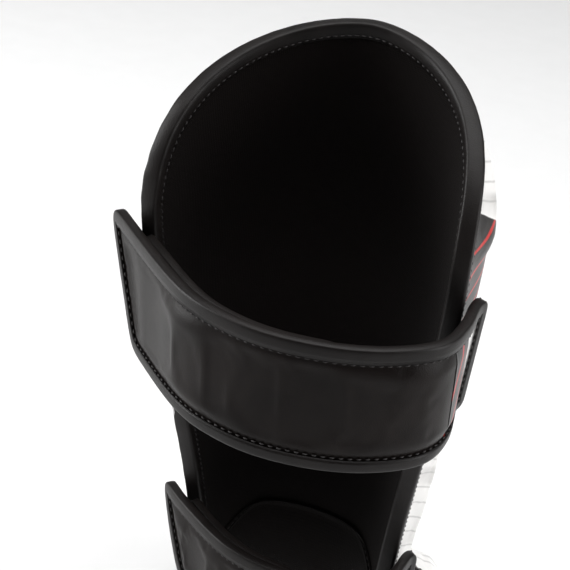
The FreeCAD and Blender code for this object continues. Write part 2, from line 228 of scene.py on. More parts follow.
class Panel:
    """A curved panel: surface(p, q) in space, q between low(p) and high(p) for p in a list.

    side is 1 or -1, so that depth along the surface's normal is positive away from the leg."""

    def __init__(self, surface, low, high, stations, side, corner=4 * MM, step=2e-4):
        self.step = step
        self.surface = surface
        self.low = low
        self.high = high
        self.stations = np.asarray(stations, float)
        self.side = side
        self.ring = self.even_ring(corner)

    def slopes(self, p, q):
        step_p, step_q = self.step, 2e-4
        along = (self.surface(p + step_p, q) - self.surface(p - step_p, q)) / (2 * step_p)
        across = (self.surface(p, q + step_q) - self.surface(p, q - step_q)) / (2 * step_q)
        return along, across

    def normal(self, p, q):
        return unit(np.cross(*self.slopes(p, q))) * self.side

    def at(self, p, q, depth):
        return self.surface(p, q) + self.normal(p, q) * np.asarray(depth)[..., None]

    def even_ring(self, corner):
        """The outline as evenly spaced (p, q) pairs, its corners rounded off."""
        p = self.stations
        low, high = self.low(p), self.high(p)
        shares = np.linspace(0, 1, 60)[1:-1]
        sides = [
            (p, low), (np.full(58, p[-1]), mix(low[-1], high[-1], shares)),
            (p[::-1], high[::-1]), (np.full(58, p[0]), mix(high[0], low[0], shares)),
        ]
        ring = np.concatenate([np.stack(side, -1) for side in sides])
        for _ in range(2):
            closed = np.vstack([ring, ring[:1]])
            travelled = distances(self.surface(closed[:, 0], closed[:, 1]))
            count = int(travelled[-1] / RING_SPACING)
            even = np.linspace(0, travelled[-1], count, endpoint=False)
            ring = sample(closed, travelled, even)
            reach = corner / RING_SPACING
            offsets = np.arange(-int(3 * reach), int(3 * reach) + 1)
            weights = np.exp(-0.5 * (offsets / reach) ** 2)
            weights /= weights.sum()
            ring = sum(w * np.roll(ring, k, axis=0) for w, k in zip(weights, offsets))
        return ring

    def inset(self, width):
        """The ring moved inwards over the surface by width."""
        p, q = self.ring[:, 0], self.ring[:, 1]
        along, across = self.slopes(p, q)
        places = self.surface(p, q)
        travel = np.roll(places, -1, axis=0) - np.roll(places, 1, axis=0)
        step = unit(np.cross(np.cross(along, across), travel)) * np.asarray(width)[..., None]
        e, f, g = (along ** 2).sum(-1), (along * across).sum(-1), (across ** 2).sum(-1)
        a, b = (along * step).sum(-1), (across * step).sum(-1)
        spread = e * g - f * f
        return p + (g * a - f * b) / spread, q + (e * b - f * a) / spread

    def grid(self, rows, margin):
        """(p, q) over the panel, margin in from its edges."""
        halfway = (self.low(self.stations) + self.high(self.stations)) / 2
        travelled = distances(self.surface(self.stations, halfway))
        first, last = np.interp([margin, travelled[-1] - margin], travelled, self.stations)
        p = first + (self.stations - self.stations[0]) / np.ptp(self.stations) * (last - first)
        low, high = self.low(p), self.high(p)
        height = np.linalg.norm(self.surface(p, high) - self.surface(p, low), axis=1)
        ease = margin / height * (high - low)
        shares = 0.5 - 0.5 * np.cos(np.linspace(0, math.pi, rows))
        shares = mix(np.linspace(0, 1, rows), shares, 0.5)
        q = (low + ease)[:, None] + shares[None, :] * (high - low - 2 * ease)[:, None]
        return np.repeat(p[:, None], rows, 1), q

    def distance(self, places):
        """How far each place is from the outline, over the surface as nearly as matters."""
        border = self.surface(self.ring[:, 0], self.ring[:, 1])
        flat = places.reshape(-1, 3)
        nearest = [np.sqrt(((chunk[:, None] - border[None]) ** 2).sum(-1)).min(1)
                   for chunk in np.array_split(flat, max(1, len(flat) // 2000))]
        return np.concatenate(nearest).reshape(places.shape[:-1])


def puffed(places, free, spare, cap):
    """A skin's grid of points after a cloth simulation under pressure, with gravity off.

    free is 0 where the skin is sewn down and 1 where it moves, spare is the share of extra cloth,
    and no point moves by more than cap."""
    coarse = places[::CLOTH_EVERY, ::CLOTH_EVERY]
    columns, rows = coarse.shape[:2]
    piece = new_object("sewing_form", coarse.reshape(-1, 3), quads(columns, rows))
    hold = piece.vertex_groups.new(name="sewn")
    for index, share in enumerate(free[::CLOTH_EVERY, ::CLOTH_EVERY].ravel()):
        hold.add([index], float(1 - share), "REPLACE")
    cloth = piece.modifiers.new("cloth", "CLOTH")
    settings = cloth.settings
    settings.quality = 6
    settings.mass = 0.3
    settings.tension_stiffness = settings.compression_stiffness = 25
    settings.shear_stiffness = 12
    settings.bending_stiffness = 0.35
    settings.air_damping = 2
    settings.vertex_group_mass = "sewn"
    settings.use_pressure = True
    settings.uniform_pressure_force = CLOTH_PRESSURE
    settings.shrink_min = -spare
    settings.effector_weights.gravity = 0
    cloth.collision_settings.use_collision = False
    cloth.collision_settings.use_self_collision = False
    scene = bpy.context.scene
    scene.frame_start, scene.frame_end = 1, CLOTH_FRAMES
    for number in range(1, CLOTH_FRAMES + 1):
        scene.frame_set(number)
    settled = piece.evaluated_get(bpy.context.evaluated_depsgraph_get())
    moved = np.empty(columns * rows * 3)
    settled.to_mesh().vertices.foreach_get("co", moved)
    settled.to_mesh_clear()
    scene.frame_set(1)
    mesh = piece.data
    bpy.data.objects.remove(piece)
    bpy.data.meshes.remove(mesh)
    shift = moved.reshape(columns, rows, 3) - coarse
    size = np.linalg.norm(shift, axis=-1, keepdims=True) + 1e-9
    shift *= cap * np.tanh(size / cap) / size
    fine = np.empty_like(places)
    wanted = [np.arange(size) for size in places.shape[:2]]
    known = [np.arange(size) * CLOTH_EVERY for size in (columns, rows)]
    for k in range(3):
        across = np.stack([np.interp(wanted[0], known[0], line) for line in shift[..., k].T], 1)
        fine[..., k] = np.stack([np.interp(wanted[1], known[1], line) for line in across])
    return places + fine * free[..., None]


def sheet_piece(name, panel, rows, depth, material, uv, body=1, margin=1.5 * MM, puff=None):
    """One skin of a panel. depth is a function of edge distance, p and q; body 1 faces outwards.

    puff is (width of the sewn border, share of spare cloth, cap on movement), and may end with a
    function of p and q that is 1 where the skin must stay put."""
    p, q = panel.grid(rows, margin)
    places = panel.surface(p, q)
    distance = panel.distance(places)
    top = depth(distance, p, q)
    outer = panel.at(p, q, top)
    inner = panel.at(p, q, top - body * SKIN)
    if puff:
        border, spare, cap, *held = puff
        free = smooth((distance - border) / CLOTH_EASE)
        if held:
            free = free * (1 - held[0](p, q))
        if panel.side < 0:
            settled = puffed(outer[:, ::-1], free[:, ::-1], spare, cap)[:, ::-1]
        else:
            settled = puffed(outer, free, spare, cap)
        inner = inner + settled - outer
        outer = settled
    columns = p.shape[0]
    flat_uv = uv(p, q).reshape(-1, 2)
    flip = panel.side * body > 0
    faces = quads(columns, rows, flip=not flip)
    faces += quads(columns, rows, start=columns * rows, flip=flip)
    ring = edge_ring(columns, rows)
    total = columns * rows
    for a, b in zip(ring, ring[1:] + ring[:1]):
        face = (a, b, b + total, a + total)
        faces.append(face if flip else face[::-1])
    vertices = np.concatenate([outer.reshape(-1, 3), inner.reshape(-1, 3)])
    return new_object(name, vertices, faces, material, np.concatenate([flat_uv, flat_uv]))


def flat_at(depth):
    """Depth of a skin that lies level."""
    return lambda distance, p, q: depth + 0 * distance


def edge_ring(columns, rows):
    """Indices round the border of a grid of vertices."""
    first = list(range(rows))
    last = [(columns - 1) * rows + j for j in range(rows)]
    low = [i * rows for i in range(1, columns - 1)]
    high = [i * rows + rows - 1 for i in range(1, columns - 1)]
    return first + high + last[::-1] + low[::-1]


def binding_piece(name, panel, thickness, width, pucker, seed, bulge=BULGE, gather=None):
    """Black leather folded round a panel's edge: flat tucked edges and a full roll between them.

    The panel lies from depth -thickness to 0. gather says how wrinkled each ring station is."""
    count = len(panel.ring)
    turns = np.linspace(0, 1, 19)
    rails = []
    creases = wander(count, seed, 3.0) * pucker
    wrinkles = np.zeros(count) if gather is None else gather(panel)
    ripple = wander(count, seed + 7, 5.5) * 1.1 * MM * wrinkles
    for turn in turns:
        angle = math.pi * turn
        # The section is a superellipse from the outer tucked edge round to the inner one.
        reach = 1 - abs(math.sin(angle)) ** 0.62
        inward = width * reach
        level = math.copysign(abs(math.cos(angle)) ** 0.30, math.cos(angle))
        full = math.sin(angle) ** 0.35 if 0 < turn < 1 else 0.0
        swell = bulge * full * (1 - 0.35 * reach)
        depth = -thickness / 2 + level * (thickness / 2 + swell) + np.zeros(count)
        lift = (creases * 0.3 + ripple) * full
        inward = np.full(count, inward) - lift
        p, q = panel.inset(inward - swell * 0.5)
        rails.append(panel.at(p, q, depth + np.sign(level) * lift * abs(level)))
    # Thin lips that run back under the roll, so that both edges read as cut leather.
    for turn, sign in ((-1, -1), (0, 1)):
        p, q = panel.inset(np.full(count, width * 0.9))
        rail = panel.at(p, q, np.full(count, (-thickness if sign < 0 else 0) - sign * 0.9 * MM))
        if sign < 0:
            rails.append(rail)
        else:
            rails.insert(0, rail)
    vertices = np.concatenate(rails)
    lengths = np.arange(count) * RING_SPACING
    uv = [np.stack([lengths, np.full(count, k * 1.4 * MM)], -1) for k in range(len(rails))]
    faces = quads(len(rails), count, wrap_rows=True, wrap_columns=True, flip=panel.side > 0)
    return new_object(name, vertices, faces, BLACK_LEATHER, np.concatenate(uv))


def stitch_row(name, centres, ahead, up):
    """Thread stitches: a short bowed capsule at each centre, along ahead, standing on up."""
    rings, sides = 5, 6
    side = np.cross(up, ahead)
    vertices, faces = [], []
    for k, (centre, forward, lift, right) in enumerate(zip(centres, ahead, up, side)):
        for i in range(rings):
            share = i / (rings - 1) * 2 - 1
            girth = STITCH_RADIUS * math.sqrt(max(1 - share ** 2 * 0.92, 0.02))
            bow = 0.35 * STITCH_RADIUS * (1 - 2 * share ** 2)
            middle = centre + forward * share * STITCH_LENGTH / 2 + lift * bow
            for j in range(sides):
                angle = 2 * math.pi * j / sides
                vertices.append(middle + (right * math.cos(angle) + lift * math.sin(angle)) * girth)
        start = k * rings * sides
        faces += quads(rings, sides, start=start, wrap_columns=True, flip=True)
        faces.append(tuple(start + j for j in range(sides)))
        faces.append(tuple(start + (rings - 1) * sides + j for j in reversed(range(sides))))
    return new_object(name, vertices, faces, THREAD)


def stitches_round(name, panel, width, depth, pitch=4.0 * MM, outward=1):
    """A row of stitches round a panel, width in from its edge."""
    p, q = panel.inset(np.full(len(panel.ring), width))
    places = panel.at(p, q, np.full(len(p), depth))
    normals = panel.normal(p, q) * outward
    closed = np.vstack([places, places[:1]])
    travelled = distances(closed)
    even = np.linspace(0, travelled[-1], int(travelled[-1] / pitch), endpoint=False)
    centres = sample(closed, travelled, even)
    ups = unit(sample(np.vstack([normals, normals[:1]]), travelled, even))
    ahead = np.roll(centres, -1, axis=0) - np.roll(centres, 1, axis=0)
    ahead = unit(ahead - ups * (ahead * ups).sum(-1, keepdims=True))
    return stitch_row(name, centres, ahead, ups)


def stitch_pair(name, panel):
    """The stitching seen on the inner and on the outer side of a binding."""
    inset = BINDING - STITCH_INSET
    return [stitches_round(name + "_stitches_inside", panel, inset, -STACK - STITCH_RISE, outward=-1),
            stitches_round(name + "_stitches_outside", panel, inset, STITCH_RISE)]


# Materials

class Nodes:
    """Short forms for building a material's nodes."""

    def __init__(self, name):
        self.material = bpy.data.materials.new(name)
        self.material.use_nodes = True
        self.tree = self.material.node_tree
        self.shader = self.tree.nodes["Principled BSDF"]

    def add(self, kind, **settings):
        node = self.tree.nodes.new(kind)
        for name, value in settings.items():
            setattr(node, name, value)
        return node

    def link(self, value, socket):
        if isinstance(value, bpy.types.NodeSocket):
            self.tree.links.new(value, socket)
        else:
            socket.default_value = value

    def math(self, operation, a, b=0.0):
        node = self.add("ShaderNodeMath", operation=operation)
        for socket, value in zip(node.inputs, (a, b)):
            self.link(value, socket)
        return node.outputs[0]

    def plus(self, a, b):
        return self.math("ADD", a, b)

    def times(self, a, b):
        return self.math("MULTIPLY", a, b)

    def coordinates(self, kind="Object"):
        return self.add("ShaderNodeTexCoord").outputs[kind]

    def axes(self, vector):
        node = self.add("ShaderNodeSeparateXYZ")
        self.link(vector, node.inputs[0])
        return node.outputs

    def noise(self, vector, scale, detail=4.0, roughness=0.55, distortion=0.0):
        node = self.add("ShaderNodeTexNoise")
        self.link(vector, node.inputs["Vector"])
        for name, value in (("Scale", scale), ("Detail", detail), ("Roughness", roughness),
                            ("Distortion", distortion)):
            node.inputs[name].default_value = value
        return node.outputs["Fac"]

    def cells(self, vector, scale):
        node = self.add("ShaderNodeTexVoronoi", feature="F1")
        self.link(vector, node.inputs["Vector"])
        node.inputs["Scale"].default_value = scale
        return node.outputs["Distance"]

    def range(self, value, low, high, to_low=0.0, to_high=1.0):
        node = self.add("ShaderNodeMapRange", interpolation_type="SMOOTHSTEP")
        for socket, amount in zip(node.inputs, (value, low, high, to_low, to_high)):
            self.link(amount, socket)
        return node.outputs[0]

    def blend(self, share, first, second):
        node = self.add("ShaderNodeMix", data_type="RGBA")
        self.link(share, node.inputs[0])
        for value, socket in ((first, node.inputs[6]), (second, node.inputs[7])):
            self.link(value if isinstance(value, bpy.types.NodeSocket) else (*value, 1), socket)
        return node.outputs[2]

    def bump(self, height, distance, strength=1.0, below=None):
        node = self.add("ShaderNodeBump")
        node.inputs["Strength"].default_value = strength
        node.inputs["Distance"].default_value = distance
        self.link(height, node.inputs["Height"])
        if below is not None:
            self.link(below, node.inputs["Normal"])
        return node.outputs[0]

    def finish(self, colour, roughness, normal=None, **plain):
        self.link(colour if isinstance(colour, bpy.types.NodeSocket) else (*colour, 1),
                  self.shader.inputs["Base Color"])
        self.link(roughness, self.shader.inputs["Roughness"])
        if normal is not None:
            self.link(normal, self.shader.inputs["Normal"])
        for name, value in plain.items():
            self.shader.inputs[name.replace("_", " ")].default_value = value
        return self.material


def grain(n, place, fine, pebbled, fuzzed, distance, strength, below=None):
    """Pebble grain of synthetic leather, over a normal that carries its creases."""
    height = n.plus(n.times(n.cells(place, 1500.0), pebbled), n.times(fine, fuzzed))
    return n.bump(height, distance, strength, below)


def leather(name, colour, light, roughness, shine=0.16):
    """Synthetic leather: fine pebble grain, long soft creases, random tone, and painted highlight on
    the creases' high spots with painted shade in their hollows.
    """
    n = Nodes(name)
    place = n.coordinates()
    fine = n.noise(place, 2600.0, 3.0)
    slow = n.noise(place, 38.0, 3.0, 0.5, 0.6)
    drift = n.noise(place, 9.0, 2.0)
    # Colour follows the creases' relief and a random drift: painted highlight where the creases stand
    # high, painted shade in their hollows.
    tone = n.plus(n.times(slow, 0.6), n.times(drift, 0.4))
    shade = n.blend(n.range(tone, 0.35, 0.68), colour, light)
    rough = n.plus(n.times(fine, 0.16), n.times(drift, 0.14))
    rough = n.plus(rough, roughness - 0.15)
    normal = grain(n, place, fine, 0.75, 0.35, 0.00016, 0.55, n.bump(slow, 0.0004, 0.5))
    return n.finish(shade, rough, normal, Specular_IOR_Level=shine)


def woven(name, colour, light, pitch=0.0011, roughness=0.85):
    """Plain weave: alternate crowns of warp and weft, laid out along the sheet's own directions."""
    n = Nodes(name)
    u, v, _ = n.axes(n.coordinates("UV"))
    turn = math.pi / pitch
    warp = n.math("SINE", n.times(u, turn))
    weft = n.math("SINE", n.times(v, turn))
    crown = n.times(warp, weft)
    body = n.math("ABSOLUTE", crown)
    place = n.coordinates()
    fuzz = n.noise(place, 900.0, 3.0)
    drift = n.noise(place, 14.0, 3.0)
    tone = n.plus(n.times(body, 0.55), n.times(drift, 0.45))
    shade = n.blend(tone, colour, light)
    normal = n.bump(n.plus(body, n.times(fuzz, 0.5)), 0.00018, 0.8)
    return n.finish(shade, roughness, normal, Specular_IOR_Level=0.08, Sheen_Weight=0.02,
                    Sheen_Roughness=0.5)


def thread(name, colour):
    n = Nodes(name)
    twist = n.noise(n.coordinates(), 1800.0, 2.0)
    return n.finish(n.blend(twist, colour, [c * 1.8 for c in colour]), 0.6,
                    n.bump(twist, 0.0002, 0.6))


def stripes(n, across, pitch, share, soft=0.06):
    """1 on stripes that take up a share of each pitch, 0 between them."""
    wave = n.math("PINGPONG", across, pitch / 2)
    half = pitch * share / 2
    return n.range(wave, half + pitch * soft, half - pitch * soft)


def printed(name, band=True):
    """White leather printed with pale diagonal strokes, and a black chevron crossed by red lines."""
    n = Nodes(name)
    u, v, _ = n.axes(n.coordinates("UV"))
    side = n.math("ABSOLUTE", u)
    slant = n.math("SUBTRACT", v, n.times(side, 0.62))
    warp = n.noise(n.coordinates(), 7.0, 2.0)
    slant = n.plus(slant, n.times(n.math("SUBTRACT", warp, 0.5), 0.012))
    broad = stripes(n, slant, 0.046, 0.30, 0.05)
    thin = stripes(n, n.plus(slant, 0.009), 0.0115, 0.10, 0.05)
    fade = n.range(n.noise(n.coordinates(), 16.0, 2.0), 0.38, 0.62)
    paint = n.blend(n.times(broad, n.times(fade, 0.75)), (0.80, 0.79, 0.775),
                    (0.42, 0.41, 0.40))
    paint = n.blend(n.times(thin, 0.55), paint, (0.30, 0.295, 0.29))
    if band:
        chevron = n.math("SUBTRACT", v, n.times(side, 1.05))
        inside = n.times(n.range(chevron, 0.1635, 0.1645),
                        n.range(chevron, 0.2695, 0.2685))
        paint = n.blend(inside, paint, (0.016, 0.014, 0.014))
        cross = n.plus(v, n.times(side, 0.85))
        red = n.times(stripes(n, cross, 0.0150, 0.14, 0.03), inside)
        paint = n.blend(red, paint, (0.50, 0.018, 0.016))
    place = n.coordinates()
    fine = n.noise(place, 2600.0, 3.0)
    slow = n.noise(place, 30.0, 3.0, 0.5, 0.4)
    grime = n.range(slow, 0.30, 0.75, 0.0, 0.10)
    paint = n.blend(grime, paint, (0.55, 0.53, 0.50))
    normal = grain(n, place, fine, 0.7, 0.3, 0.00012, 0.45, n.bump(slow, 0.0005, 0.35))
    rough = n.plus(n.times(fine, 0.12), 0.30)
    return n.finish(paint, rough, normal, Specular_IOR_Level=0.5)


def looped(name, colour, light):
    """Hook or loop tape: dense small tufts."""
    n = Nodes(name)
    place = n.coordinates()
    tufts = n.cells(place, 900.0)
    fuzz = n.noise(place, 2400.0, 3.0)
    height = n.plus(tufts, n.times(fuzz, 0.7))
    return n.finish(n.blend(fuzz, colour, light), 0.92, n.bump(height, 0.0005, 0.9),
                    Sheen_Weight=0.3, Sheen_Roughness=0.5)


def ribbed(name, colour, light):
    """Woven elastic: cords along the band, crossed by fine weft."""
    n = Nodes(name)
    u, v, _ = n.axes(n.coordinates("UV"))
    cords = n.math("ABSOLUTE", n.math("SINE", n.times(v, math.pi / 0.0024)))
    weft = n.math("ABSOLUTE", n.math("SINE", n.times(u, math.pi / 0.0009)))
    height = n.plus(cords, n.times(weft, 0.4))
    return n.finish(n.blend(n.times(cords, weft), colour, light), 0.8,
                    n.bump(height, 0.0004, 0.8), Sheen_Weight=0.2, Sheen_Roughness=0.5)


BLACK_LEATHER = leather("black_leather", (0.0055, 0.0043, 0.0040), (0.0105, 0.0085, 0.0080), 0.42,
                        shine=0.2)
STRAP_LEATHER = leather("strap_leather", (0.0052, 0.0036, 0.0032), (0.0100, 0.0074, 0.0066), 0.36,
                        shine=0.11)
FLAP_LEATHER = leather("flap_leather", (0.008, 0.007, 0.0065), (0.014, 0.012, 0.011), 0.48)
LINER = woven("liner_weave", (0.0026, 0.0016, 0.0014), (0.0055, 0.0038, 0.0034))
# Near-black knit of the sheet that stands in for the shade inside the ankle.
ANKLE_SHADE_KNIT = woven("ankle_shade_knit", (0.0026, 0.0018, 0.0016), (0.0050, 0.0038, 0.0034), 0.0014, 0.9)
THREAD = thread("black_thread", (0.014, 0.012, 0.012))
PRINT = printed("printed_leather")
PLAIN_PRINT = printed("printed_leather_instep", band=False)
LOOP = looped("loop_tape", (0.012, 0.012, 0.012), (0.04, 0.04, 0.04))
HOOK = looped("hook_tape", (0.008, 0.008, 0.008), (0.03, 0.03, 0.03))
ELASTIC = ribbed("black_elastic", (0.012, 0.012, 0.012), (0.035, 0.034, 0.033))


# Shin shell

def taper(z):
    share = (TAPER_Z[0] - z) / (TAPER_Z[0] - TAPER_Z[1])
    return mix(smooth(share), np.clip(share, 0.0, 1.2), 0.5)


def shin_surface(p, z):
    wrap = mix(*WRAP, taper(z))
    depth = mix(*REAR_EDGE, taper(z)) / (1 - np.cos(wrap))
    return points(mix(*HALF_WIDTH, taper(z)) * np.sin(p * wrap),
                  SHIN_FRONT + depth * (1 - np.cos(p * wrap)), z)


def shin_top(p):
    return SHIN_TOP - RIM_DROP * (1 - np.clip(1 - np.abs(p) ** RIM_ROUND, 0, 1) ** (1 / RIM_SHOULDER))


def shin_bottom(p):
    beside = smooth((np.abs(p) - 0.32) / 0.5)
    return ANKLE_NOTCH - WING_DROP * beside + WING_ROUND * np.abs(p) ** 12


def even_turns(count):
    """Stations from -1 to 1, closer together towards the ends."""
    return np.sin(np.radians(np.linspace(-90, 90, count)))


SHIN = Panel(shin_surface, shin_bottom, shin_top, even_turns(121), 1)


def pillow(height, ramp):
    """Depth of a padded cover: level under the binding, pinched at its seam, then full."""
    def depth(distance, p, q):
        rise = smooth((distance - BINDING) / ramp)
        quick = 1 - np.exp(-np.clip(distance - BINDING, 0, None) / (5 * MM))
        pinch = np.exp(-((distance - BINDING) / (1.4 * MM)) ** 2)
        crown = (height - 2.0 * MM) * rise + 2.0 * MM * quick * rise ** 0.25
        return -COVER_SET + crown - 0.5 * MM * pinch
    return depth


def shin_uv(p, z):
    wrap = mix(*WRAP, taper(z))
    return np.stack([p * wrap * mix(*HALF_WIDTH, taper(z)) * 0.97, z], -1)


def left_gather(panel):
    """Where the leather roll is bunched: the +X side of the rim and the rear edge below the strap."""
    p, z = panel.ring[:, 0], panel.ring[:, 1]
    upper = np.exp(-((z - 0.372) / 0.030) ** 2) * (p > 0.80)
    middle = np.exp(-((z - 0.215) / 0.022) ** 2) * (p > 0.9)
    other = 0.6 * np.exp(-((z - 0.300) / 0.02) ** 2) * (p < -0.9)
    return upper + 0.7 * middle + other


def strap_side(p, z):
    """Share of the cover's edge that must stay low, where the upper strap folds back over it."""
    return smooth((z - 0.215) / 0.025) * smooth((0.372 - z) / 0.022) * smooth((-p - 0.35) / 0.2)


def shin_depth(distance, p, z):
    full = pillow(PILLOW, PILLOW_RAMP)(distance, p, z)
    low = pillow(PILLOW_LOW, PILLOW_LOW_RAMP)(distance, p, z)
    return mix(full, low, strap_side(p, z))


def build_shin():
    cover = sheet_piece("shin_cover", SHIN, 141, shin_depth, PRINT, shin_uv,
                        puff=(BINDING, *SHIN_PUFF, strap_side))
    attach(cover, "shin")
    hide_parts("shin_cover", "shin_impact_foam")

    def liner_depth(distance, p, q):
        quick = 1 - np.exp(-np.clip(distance - BINDING, 0, None) / (6 * MM))
        return -STACK + COVER_SET - 0.5 * MM * quick

    liner = sheet_piece("shin_liner", SHIN, 101, liner_depth, LINER, shin_uv, body=-1)
    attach(liner, "shin")
    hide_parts("shin_lining", "shin_comfort_foam")
    binding = binding_piece("shin_edge_binding", SHIN, STACK, BINDING, 0.35 * MM, 3,
                            gather=left_gather)
    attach(binding, "shin")
    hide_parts("shin_edge_binding")
    for row in stitch_pair("shin", SHIN):
        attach(row, "shin")


# Straps

def spline(control, count=400):
    """Even points through the control points, softly bent, with how far along each one lies."""
    control = np.asarray(control, float)
    ends = np.vstack([2 * control[0] - control[1], control, 2 * control[-1] - control[-2]])
    knots = np.concatenate([[0], np.cumsum(np.linalg.norm(np.diff(ends, axis=0), axis=1) ** 0.5)])
    slopes = []
    for k in range(1, len(ends) - 1):
        before, after = knots[k] - knots[k - 1], knots[k + 1] - knots[k]
        slope = (ends[k] - ends[k - 1]) / before - (ends[k + 1] - ends[k - 1]) / (before + after)
        slopes.append(slope + (ends[k + 1] - ends[k]) / after)
    slopes = np.asarray(slopes)
    inner = knots[1:-1]
    where = np.linspace(inner[0], inner[-1], count)
    index = np.clip(np.searchsorted(inner, where, side="right") - 1, 0, len(inner) - 2)
    span = inner[index + 1] - inner[index]
    share = ((where - inner[index]) / span)[:, None]
    a, b = control[index], control[index + 1]
    da, db = slopes[index] * span[:, None], slopes[index + 1] * span[:, None]
    line = ((2 * share ** 3 - 3 * share ** 2 + 1) * a + (share ** 3 - 2 * share ** 2 + share) * da
            + (3 * share ** 2 - 2 * share ** 3) * b + (share ** 3 - share ** 2) * db)
    travelled = distances(line)
    # Even steps, then a soft average that leaves the ends alone: leather takes no sharp bend.
    even = np.linspace(0, travelled[-1], count)
    line = sample(line, travelled, even)
    reach = max(int(8 * MM / even[1]), 1)
    longer = np.vstack([2 * line[0] - line[reach:0:-1], line, 2 * line[-1] - line[-2:-reach - 2:-1]])
    weights = np.hanning(2 * reach + 3)[1:-1]
    weights /= weights.sum()
    line = np.stack([np.convolve(column, weights, "valid") for column in longer.T], -1)
    return line, distances(line)


def strap_line(strap, z):
    """Plan of a closed strap's inner face at height z, from its root to its free end."""
    top = strap["top"]
    line = []
    for p in STRAP_ROOT:
        rise = PILLOW * smooth((1 - abs(p)) / STRAP_ROOT_RAMP)
        line.append(SHIN.at(np.array([p]), np.array([z]), np.array([rise + 0.4 * MM]))[0])
    high, here = shin_surface(1.0, top), shin_surface(1.0, z)
    width = mix(high[0], here[0], BELLY_TAPER)
    rear = mix(high[1], here[1], BELLY_TAPER / 2)
    line += [np.array([width * x, rear + strap["depth"] * y, z]) for x, y in BELLY]
    touch = np.array([width, rear, z]) + unit(np.array([1.0, 1.0, 0.0])) * 3 * MM
    onward = unit(np.array([1.0, -1.0, 0.0]))
    line += [touch + onward * (strap["free"] - 22 * MM), touch + onward * strap["free"]]
    return spline(line)


class Strap:
    """Surface of a strap or flap: p is the share of its length, q the share of its height."""

    def __init__(self, low, high, lean=0.0):
        self.lines = (low, high)
        self.length = (low[1][-1] + high[1][-1]) / 2
        self.lean = lean / (self.length * (1 - LEAN_FROM))

    def __call__(self, p, q):
        p, q = np.broadcast_arrays(np.asarray(p, float), np.asarray(q, float))
        p = p - np.clip(p - LEAN_FROM, 0, None) * self.lean * (1 - q)
        ends = []
        for line, travelled in self.lines:
            where = p * travelled[-1]
            extra = where - np.clip(where, 0, travelled[-1])
            place = sample(line, travelled, where)
            place += extra[..., None] * unit(np.where(extra[..., None] > 0, line[-1] - line[-3],
                                                      line[2] - line[0]))
            ends.append(place)
        return ends[0] * (1 - q)[..., None] + ends[1] * q[..., None]


def corner_drop(p, end, reach, rise):
    """How far a rounded corner cuts into the edge of a band near its end."""
    share = np.clip((p - (end - reach)) / reach, 0, 1)
    return rise * (1 - np.sqrt(np.clip(1 - share ** 2, 0, 1)))


def band_panel(surface, length, height, corner, count):
    """Panel of a strap or flap: straight at its root and rounded at its free end."""
    reach, rise = corner / length, corner / height
    far = np.linspace(1 - reach, 1, 14)
    stations = np.concatenate([np.linspace(0, 1 - reach, count)[:-1], far])

    def low(p):
        return corner_drop(p, 1, reach, rise)

    def high(p):
        return 1 - corner_drop(p, 1, reach, rise)

    return Panel(surface, low, high, stations, -1, corner=3 * MM, step=STRAP_STEP)


def band_uv(length, height):
    return lambda p, q: np.stack([p * length, q * height], -1)


def strap_depth(thickness, border, puff, seed):
    """Depth of a strap's face: level at its edge, pinched at the stitching, soft in the middle."""
    random = np.random.default_rng(seed)
    waves = [(random.uniform(12, 40), random.uniform(-1.6, 1.6), random.uniform(0, 6.28))
             for _ in range(6)]

    def depth(distance, p, q):
        rise = smooth((distance - border) / (10 * MM))
        pinch = np.exp(-((distance - border - 0.8 * MM) / (1.5 * MM)) ** 2)
        ripple = sum(np.sin(a * p + b * q + c) for a, b, c in waves) / len(waves)
        crown = puff * rise - 0.55 * MM * pinch + 2.4 * MM * ripple * rise
        return thickness - COVER_SET + crown
    return depth


def replace(name, *rows):
    """Each row is a piece and the endings of the CAD nodes that it stands for."""
    for piece, *endings in rows:
        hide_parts(*(name + ending for ending in endings))


def build_strap(strap):
    name, height = strap["name"] + "_strap", strap["height"]
    low = strap_line(strap, strap["top"] - height)
    high = strap_line(strap, strap["top"])
    surface = Strap(low, high, STRAP_LEAN * height)
    length = surface.length
    panel = band_panel(surface, length, height, STRAP_CORNER, 150)
    uv = band_uv(length, height)
    seed = 11 if strap is UPPER else 12
    face_depth = strap_depth(STRAP_THICKNESS, STRAP_BINDING, 0.9 * MM, seed)
    seam = ROOT_PANEL / length

    face = sheet_piece(name + "_face", part_of(panel, seam - 0.004, 1.0), 41, face_depth,
                       STRAP_LEATHER, uv, puff=(STRAP_BINDING, *STRAP_PUFF))
    root = sheet_piece(name + "_root_panel", part_of(panel, 0.0, seam + 0.004), 41,
                       lambda d, p, q: face_depth(d, p, q) - 0.35 * MM, PRINT_STRAP, uv)
    back = sheet_piece(name + "_backing", panel, 31, flat_at(BACKING_SET), LINER, uv, body=-1)
    outer = shifted(panel, STRAP_THICKNESS)
    binding = binding_piece(name + "_binding", outer, STRAP_THICKNESS, STRAP_BINDING, 0.15 * MM, 21,
                            bulge=0.35 * MM)
    hook = sheet_piece(name + "_hook_patch", inner_part(panel, 0.36, 0.70, 0.14), 9,
                       flat_at(-0.6 * MM), HOOK, uv, body=-1, margin=0.0)
    stitching = stitches_round(name + "_stitches", outer, STRAP_BINDING + 0.9 * MM, -0.55 * MM,
                               pitch=4.6 * MM)
    for piece in (face, root, back, binding, hook, stitching):
        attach(piece, name)
    replace(name, (face, "_face", "_foam"), (root, "_root_panel"), (back, "_backing"),
            (binding, "_binding"), (hook, "_hook_patch"))
    return surface, length


def part_of(panel, first, last):
    """The same panel between two shares of its length, with the whole panel's outline."""
    inside = (panel.stations > first) & (panel.stations < last)
    piece = copy.copy(panel)
    piece.stations = np.concatenate([[first], panel.stations[inside], [last]])
    return piece


def inner_part(panel, first, last, edge):
    """A plain rectangle of a panel, set in from its long edges."""
    stations = np.linspace(first, last, 60)
    return Panel(panel.surface, lambda p: edge + 0 * p, lambda p: 1 - edge + 0 * p, stations,
                 panel.side, corner=1 * MM, step=STRAP_STEP)


